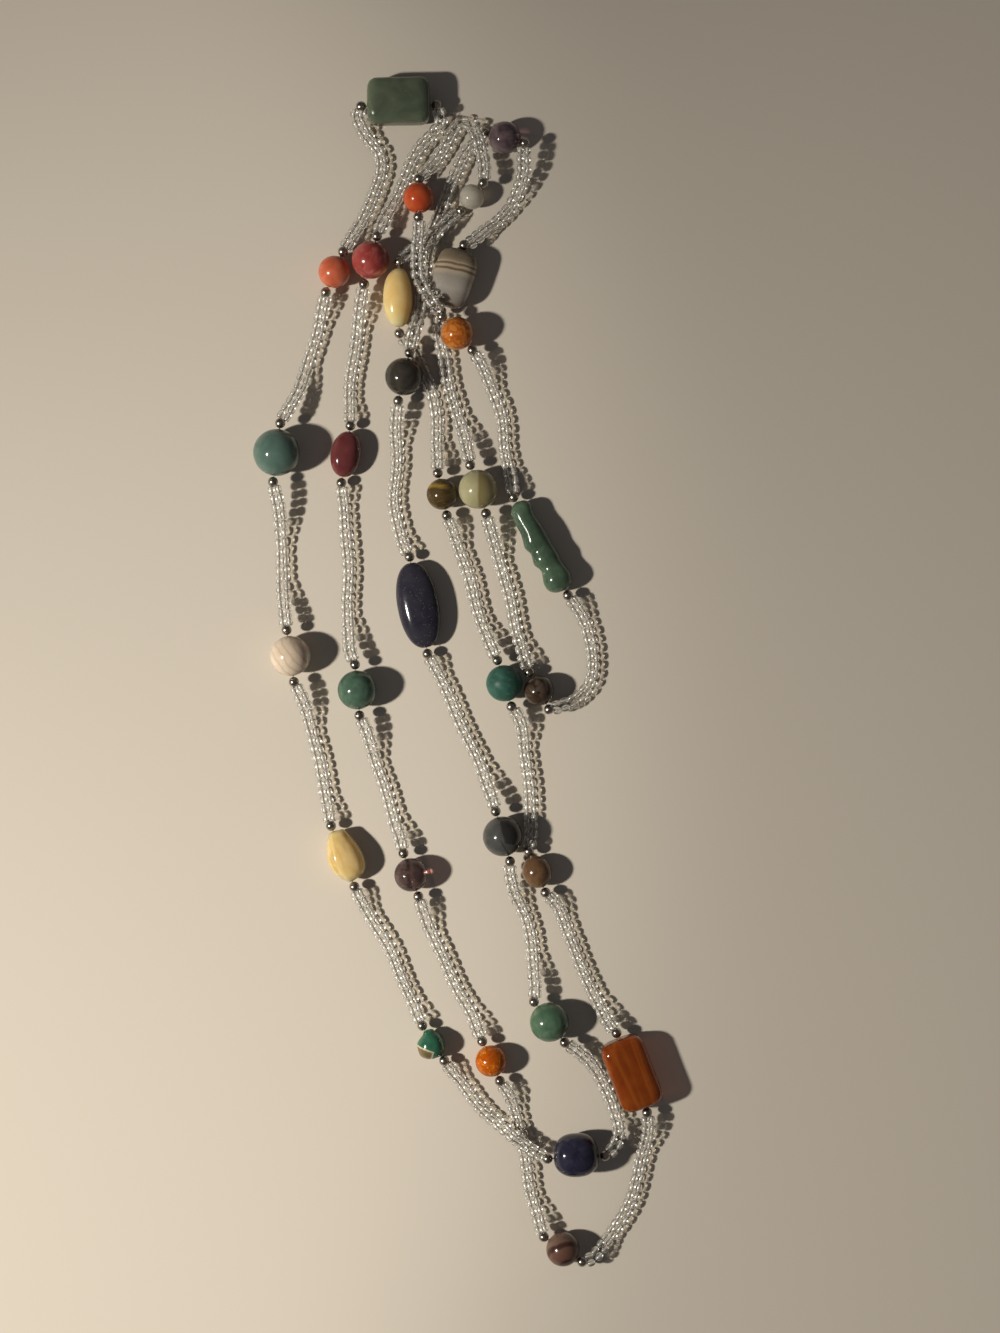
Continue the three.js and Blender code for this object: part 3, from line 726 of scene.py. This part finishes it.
def smooth_rows(rows, count):
    """Rows on a smooth curve through the given ones, by Catmull-Rom."""
    rows = np.array(rows)
    padded = np.vstack([2 * rows[0] - rows[1], rows, 2 * rows[-1] - rows[-2]])
    result = []
    for place in np.linspace(0, len(rows) - 1.000001, count):
        i, t = int(place), place - int(place)
        a, b, c, d = padded[i : i + 4]
        result.append(0.5 * (2 * b + (c - a) * t + (2 * a - 5 * b + 4 * c - d) * t**2
                             + (3 * b - a - 3 * c + d) * t**3))
    return result


def outer_rows(bead):
    """Fine sections (at, half width, half height, side) of a bead from hole edge to hole edge."""
    half = bead["long"] / 2
    if "sections" in bead:
        first, last = (-half, HOLE_EDGE, HOLE_EDGE, 0.0), (half, HOLE_EDGE, HOLE_EDGE, 0.0)
        return smooth_rows([first, *bead["sections"], last], BEAD_RINGS)
    ends, level = bead.get("ends", 2), bead.get("level", 1)
    least = HOLE_EDGE * 2 / min(bead["wide"], bead["tall"]) * level
    start = math.asin(least ** (ends / 2))
    rows = []
    for turn in np.linspace(start, math.pi - start, BEAD_RINGS):
        swell = min(bulge(math.sin(turn), ends), level) / level
        at = -bulge(math.cos(turn), ends) * half
        # the outline moves aside only where it's wide, so that the hole stays on the drill line
        side = bead.get("side", 0) * min(1, 1.6 * (swell - least / level))
        rows.append((at, swell * bead["wide"] / 2, swell * bead["tall"] / 2, side))
    return rows


def swelling(bead, at, turn):
    """How far a spot of a bead's surface stands out or in, as a factor on its distance from the axis."""
    name = bead["name"]
    spot = Vector((at / 5, math.cos(turn) * 1.2, math.sin(turn) * 1.2)) + Vector((bead["x"], bead["y"], 3))
    factor = 1 + 0.012 * noise.noise(spot)
    if "nugget" in name:
        factor += 0.07 * noise.noise(spot * 1.3)
    if "pear" in name:
        for ridge in (math.radians(62), math.radians(118)):
            factor += 0.035 * math.exp(-(((turn - ridge) / 0.16) ** 2))
    if "red_oval" in name:
        factor += 0.014 * math.cos(6 * turn + 0.4)
    if "blue_oval" in name:
        factor += 0.03 * math.exp(-((((turn + math.pi) % (2 * math.pi) - math.pi - 0.12) / 0.07) ** 2))
    return factor


def bead_mesh(bead):
    """Points and faces of a bead round X: the outside, and the wall of its hole."""
    rows = outer_rows(bead)
    turns = 2 * np.pi * np.arange(BEAD_AROUND) / BEAD_AROUND
    square = bead.get("square", 2)
    rings = []
    for at, wide, tall, side in rows:
        factors = np.array([swelling(bead, at, turn) for turn in turns])
        share = min(1, (min(wide, tall) - HOLE_EDGE) / 1.0)
        factors = 1 + (factors - 1) * max(share, 0)
        across = side + wide * bulge(np.cos(turns), square) * factors
        up = tall * bulge(np.sin(turns), square) * factors
        rings.append(np.column_stack([np.full(BEAD_AROUND, at), across, up]))
    half = rows[-1][0]
    for at in (half - 0.12, half - 0.5, 0, 0.5 - half, 0.12 - half):
        radius = HOLE_RADIUS + (0.06 if abs(at) > half - 0.3 else 0)
        circle = radius * np.column_stack([np.cos(turns), np.sin(turns)])
        rings.append(np.column_stack([np.full(BEAD_AROUND, at), circle]))
    return np.vstack(rings), ring_faces(len(rings), BEAD_AROUND)


def drill_turn(bead):
    """How a bead is turned: about Y by its tilt, then about Z by its heading."""
    return Euler((0, math.radians(-bead.get("tilt", 0)), math.radians(bead["heading"])), "XYZ")


def middle(bead):
    """The middle of a bead's drill line in the frame, in millimetres."""
    tall = 2 * max(row[2] for row in bead["sections"]) if "sections" in bead else bead["tall"]
    return Vector((bead["x"], bead["y"], tall / 2 + bead.get("lift", 0))) + SHIFT


def in_place(bead):
    return Matrix.Translation(middle(bead) * MM) @ drill_turn(bead).to_matrix().to_4x4()


def ball_centre(bead, end):
    """The centre of the spacer ball at a bead's entry (-1) or exit (+1) hole."""
    reach = bead["long"] / 2 + BALL_GAP + BALL_RADIUS
    return drill_turn(bead).to_matrix() @ Vector((end * reach, 0, 0)) + middle(bead)


def smooth_route(points, fineness=40):
    """A smooth curve in plan through points, centripetal Catmull-Rom, as many short steps."""
    points = [np.array(point[:2], float) for point in points]
    points = [2 * points[0] - points[1], *points, 2 * points[-1] - points[-2]]
    route = []
    for a, b, c, d in zip(points, points[1:], points[2:], points[3:]):
        ab, bc, cd = (math.sqrt(np.linalg.norm(q - p)) for p, q in ((a, b), (b, c), (c, d)))
        leave = ((b - a) / ab - (c - a) / (ab + bc) + (c - b) / bc) * bc
        arrive = ((c - b) / bc - (d - b) / (bc + cd) + (d - c) / cd) * bc
        for step in range(fineness):
            t = step / fineness
            route.append(b + leave * t + (3 * (c - b) - 2 * leave - arrive) * t**2
                         + (leave + arrive - 2 * (c - b)) * t**3)
    return np.array(route + [points[-2]])


def fall(distance, reach):
    """1 at the start, falling smoothly to 0 after the distance reach."""
    share = np.minimum(distance / reach, 1)
    return (1 - share) ** 2 * (1 + 2 * share)


class Stretch:
    """The middle line of a stretch of seed beads, by the distance along it."""

    def __init__(self, number):
        before, after = BEADS[number], BEADS[(number + 1) % len(BEADS)]
        form = STRETCHES[number]
        self.start, self.end = ball_centre(before, 1), ball_centre(after, -1)
        passed = [(x + SHIFT.x, y + SHIFT.y) for x, y in form["via"]]
        self.route = smooth_route([tuple(self.start), *passed, tuple(self.end)])
        steps = np.linalg.norm(np.diff(self.route, axis=0), axis=1)
        self.reached = np.concatenate([[0], np.cumsum(steps)])
        self.length = self.reached[-1]
        sink_in, sink_out = self.start.z - SEED_RADIUS, self.end.z - SEED_RADIUS
        fall_in = form.get("fall_in", FALL_RATIO * sink_in)
        fall_out = form.get("fall_out", FALL_RATIO * sink_out)
        rise = sink_in * fall(self.reached, fall_in) + sink_out * fall(self.length - self.reached, fall_out)
        for x, y, top, reach in form.get("over", []):
            spot = np.array([x + SHIFT.x, y + SHIFT.y])
            peak = self.reached[np.argmin(np.linalg.norm(self.route - spot, axis=1))]
            lift = (top + HANG - SEED_RADIUS) * fall(np.abs(self.reached - peak), reach)
            rise = np.maximum(rise, lift)
        self.height = SEED_RADIUS + np.maximum(rise, HANG)

    def at(self, places):
        """Points of the middle line at these distances along it."""
        columns = (self.route[:, 0], self.route[:, 1], self.height)
        return np.column_stack([np.interp(places, self.reached, column) for column in columns])

    def frames(self, places, offset):
        """Points of a strand beside the middle line, with the directions along, across and up there."""
        along = self.at(places + 0.4) - self.at(places - 0.4)
        along /= np.linalg.norm(along, axis=1)[:, None]
        across = np.column_stack([-along[:, 1], along[:, 0], np.zeros(len(along))])
        across /= np.linalg.norm(across, axis=1)[:, None]
        up = np.cross(along, across)
        places = np.asarray(places)
        # between their ends the two strands drift apart and together, and sway to one side as one
        waves = np.sin(places / 2.3 + offset * 5 + self.length) + np.sin(places / 3.7 + self.length * 2)
        free = np.clip(np.minimum(places, self.length - places) / 4 - 0.6, 0, 1)
        apart = np.sign(offset) * 0.05 * waves * free
        sway = offset + apart + 0.14 * free * np.sin(places / 3.1 + self.length)
        return self.at(places) + across * sway[:, None], along, across, up


# A seed bead's section round its hole, for one 2 mm long: (along the hole, from its middle), outside
# first, and how many of its sides, counted back from the last point, belong to the wall of the hole.
SEED_SECTION = [
    (-0.94, 0.34), (-1.0, 0.44), (-0.95, 0.62), (-0.74, 0.79), (-0.36, 0.91), (0.0, 0.95), (0.36, 0.91),
    (0.74, 0.79), (0.95, 0.62), (1.0, 0.44), (0.94, 0.34), (0.5, 0.3), (-0.5, 0.3),
]
SEED_WALL = 3
SEED_AROUND = 16
SEED_SHARE = 0.92  # how much of its length of thread a seed bead fills


def seed_points(centre, along, across, up, half):
    """One seed bead of that half length, a little irregular in girth and turned a little off its thread."""
    lean, sway = random.uniform(-0.11, 0.11), random.uniform(-0.08, 0.08)
    axis = along + across * lean + up * sway
    axis /= np.linalg.norm(axis)
    side = np.cross(up, axis)
    side /= np.linalg.norm(side)
    top = np.cross(axis, side)
    girth = random.uniform(0.9, 0.98)
    spin = random.uniform(0, math.pi)
    turns = spin + 2 * np.pi * np.arange(SEED_AROUND) / SEED_AROUND
    circle = np.outer(np.cos(turns), side) + np.outer(np.sin(turns), top)
    return [centre + axis * at * half + circle * radius * girth for at, radius in SEED_SECTION]


def seed_strands(number, stretch, glass, wall):
    """The seed beads of both strands of a stretch, end to end in uneven lengths, joined as one mesh."""
    points, faces, walls = [], [], []
    free = stretch.length - 2 * (SEED_START - SEED_PITCH / 2)
    for offset in (STRAND_OFFSET, -STRAND_OFFSET):
        shares = np.array([random.uniform(0.88, 1.12) for _ in range(round(free / SEED_PITCH))])
        lengths = shares * free / shares.sum()
        places = SEED_START - SEED_PITCH / 2 + np.cumsum(lengths) - lengths / 2
        for length, *spot in zip(lengths, *stretch.frames(places, offset)):
            start = sum(len(part) for part in points)
            points += seed_points(*spot, length / 2 * SEED_SHARE)
            rings = ring_faces(len(SEED_SECTION), SEED_AROUND, start)
            last = len(faces) + len(rings)
            walls += range(last - SEED_WALL * SEED_AROUND, last)
            faces += rings
    name = f"seeds_{number:02d}"
    return new_object(name, np.vstack(points), faces, [glass, wall], second=walls)


def spacer_balls(number, stretch, material):
    """The two polished balls that close a stretch, each drilled along its thread."""
    before, after = BEADS[number - 1], BEADS[number % len(BEADS)]
    rows = []
    for turn in np.linspace(BALL_MOUTH, math.pi - BALL_MOUTH, BALL_RINGS):
        rows.append((-math.cos(turn) * BALL_RADIUS, math.sin(turn) * BALL_RADIUS))
    rows += [(BALL_RADIUS * 0.9, BALL_HOLE), (-BALL_RADIUS * 0.9, BALL_HOLE)]
    turns = 2 * np.pi * np.arange(BALL_AROUND) / BALL_AROUND
    points, faces = [], []
    for centre, bead in ((stretch.start, before), (stretch.end, after)):
        turn = np.array(drill_turn(bead).to_matrix())
        start = sum(len(part) for part in points)
        for at, radius in rows:
            ring = np.column_stack([np.full(BALL_AROUND, at), radius * np.cos(turns), radius * np.sin(turns)])
            points.append(ring @ turn.T + np.array(centre))
        faces += ring_faces(len(rows), BALL_AROUND, start)
    return new_object(f"spacers_{number:02d}", np.vstack(points), faces, [material])


def tube(points, radius, around, start):
    """Rings and faces of a thin closed tube along points."""
    points = np.array(points)
    rings = []
    turns = 2 * np.pi * np.arange(around) / around
    for i, point in enumerate(points):
        along = points[min(i + 1, len(points) - 1)] - points[max(i - 1, 0)]
        side = np.cross(along, (0, 0, 1))
        side /= np.linalg.norm(side)
        top = np.cross(along, side)
        top /= np.linalg.norm(top)
        rings.append(point + radius * (np.outer(np.cos(turns), side) + np.outer(np.sin(turns), top)))
    faces = ring_faces(len(points), around, start)[: (len(points) - 1) * around]
    faces.append(tuple(range(start, start + around))[::-1])
    last = start + (len(points) - 1) * around
    faces.append(tuple(range(last, last + around)))
    return rings, faces


def thread_piece(stretches, material):
    """The thread: through every bead and, doubled, through the strands of every stretch."""
    routes = []
    for number, stretch in enumerate(stretches):
        bead = BEADS[number]
        routes.append([ball_centre(bead, -1), ball_centre(bead, 1)])
        for offset in (STRAND_OFFSET, -STRAND_OFFSET):
            first = SEED_START - THREAD_STEP
            places = np.arange(first, stretch.length - first, THREAD_STEP)
            line = stretch.frames(places, offset)[0]
            routes.append([stretch.start, *line, stretch.end])
    points, faces = [], []
    for route in routes:
        rings, more = tube([tuple(point) for point in route], THREAD_RADIUS, 6, sum(map(len, points)))
        points += rings
        faces += more
    return new_object("thread", np.vstack(points), faces, [material])


# ---------------------------------------------------------------------------------------------
# The pieces.

for bead_row, (look, slot) in zip(BEADS, LOOKS):
    points, faces = bead_mesh(bead_row)
    name = bead_row["name"].split("_", 2)[2] + "_" + bead_row["name"].split("_")[1]
    stone = new_object(name, points, faces, [look(slot).material], place=in_place(bead_row))
    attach(stone, "root")
    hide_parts(bead_row["name"])

glass, wall = seed_glass("seed_glass").material, seed_hole("seed_hole").material
ball_metal, yarn = steel("steel_spacer").material, fibre("thread").material
stretches = [Stretch(number) for number in range(len(BEADS))]
for number, stretch in enumerate(stretches, start=1):
    seeds = seed_strands(number, stretch, glass, wall)
    balls = spacer_balls(number, stretch, ball_metal)
    for piece, slot in ((seeds, "seed_glass"), (balls, "steel_spacer")):
        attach(piece, "root")
        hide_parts(f"strand_{number:02d}")
thread = thread_piece(stretches, yarn)
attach(thread, "root")

# ---------------------------------------------------------------------------------------------
# The floor, the light and the camera.

CAMERA_HEIGHT = 620  # above the middle of the beads
VIEW_HEIGHT = 341.2  # of what the camera sees there
BEAD_LEVEL = 4
LAMP_DISTANCE = 900
LAMP_RADIUS = 28
FLOOR_HALF = 4000
FLOOR_DROP = 0.05  # how far the floor lies under the lowest bead, so that the two don't mix

corners = [(x * FLOOR_HALF, y * FLOOR_HALF, 0) for x, y in ((-1, -1), (1, -1), (1, 1), (-1, 1))]
floor = new_object("floor", corners, [(0, 1, 2, 3)], [pale_floor("floor").material])
floor.location.z = -FLOOR_DROP * MM

middle_point = Vector((SHIFT.x, SHIFT.y, BEAD_LEVEL)) * MM
camera = bpy.data.objects.new("camera", bpy.data.cameras.new("camera"))
bpy.context.scene.collection.objects.link(camera)
camera.location = middle_point + Vector((0, 0, CAMERA_HEIGHT * MM))
camera.data.sensor_fit = "AUTO"
camera.data.angle = 2 * math.atan(VIEW_HEIGHT / 2 / CAMERA_HEIGHT)
camera.data.clip_start = 0.01
bpy.context.scene.camera = camera


def lamp(name, target, energy, size, blend):
    """A spot lamp at the one place where both stand. target is from the middle, in millimetres."""
    light = bpy.data.objects.new(name, bpy.data.lights.new(name, "SPOT"))
    bpy.context.scene.collection.objects.link(light)
    light.location = middle_point + Vector(LAMP_WAY) * LAMP_DISTANCE * MM
    way = middle_point + Vector(target) * MM - light.location
    light.rotation_euler = way.to_track_quat("-Z", "Y").to_euler()
    light.data.shadow_soft_size = LAMP_RADIUS * MM
    light.data.energy = energy
    light.data.color = (1.0, 0.95, 0.87)
    light.data.spot_size = math.radians(size)
    light.data.spot_blend = blend


# One reaches the whole floor; the other brightens its left half.
lamp("wide_lamp", (500, -290, 0), 27, 88.6, 1.0)
lamp("left_lamp", (-500, -64, 0), 12.1, 70.6, 0.16)

world = bpy.data.worlds.new("room")
bpy.context.scene.world = world
world.use_nodes = True
room = world.node_tree.nodes["Background"]
room.inputs["Color"].default_value = (0.95, 0.93, 1.0, 1)
room.inputs["Strength"].default_value = 0.075
bpy.context.scene.view_settings.view_transform = "Standard"
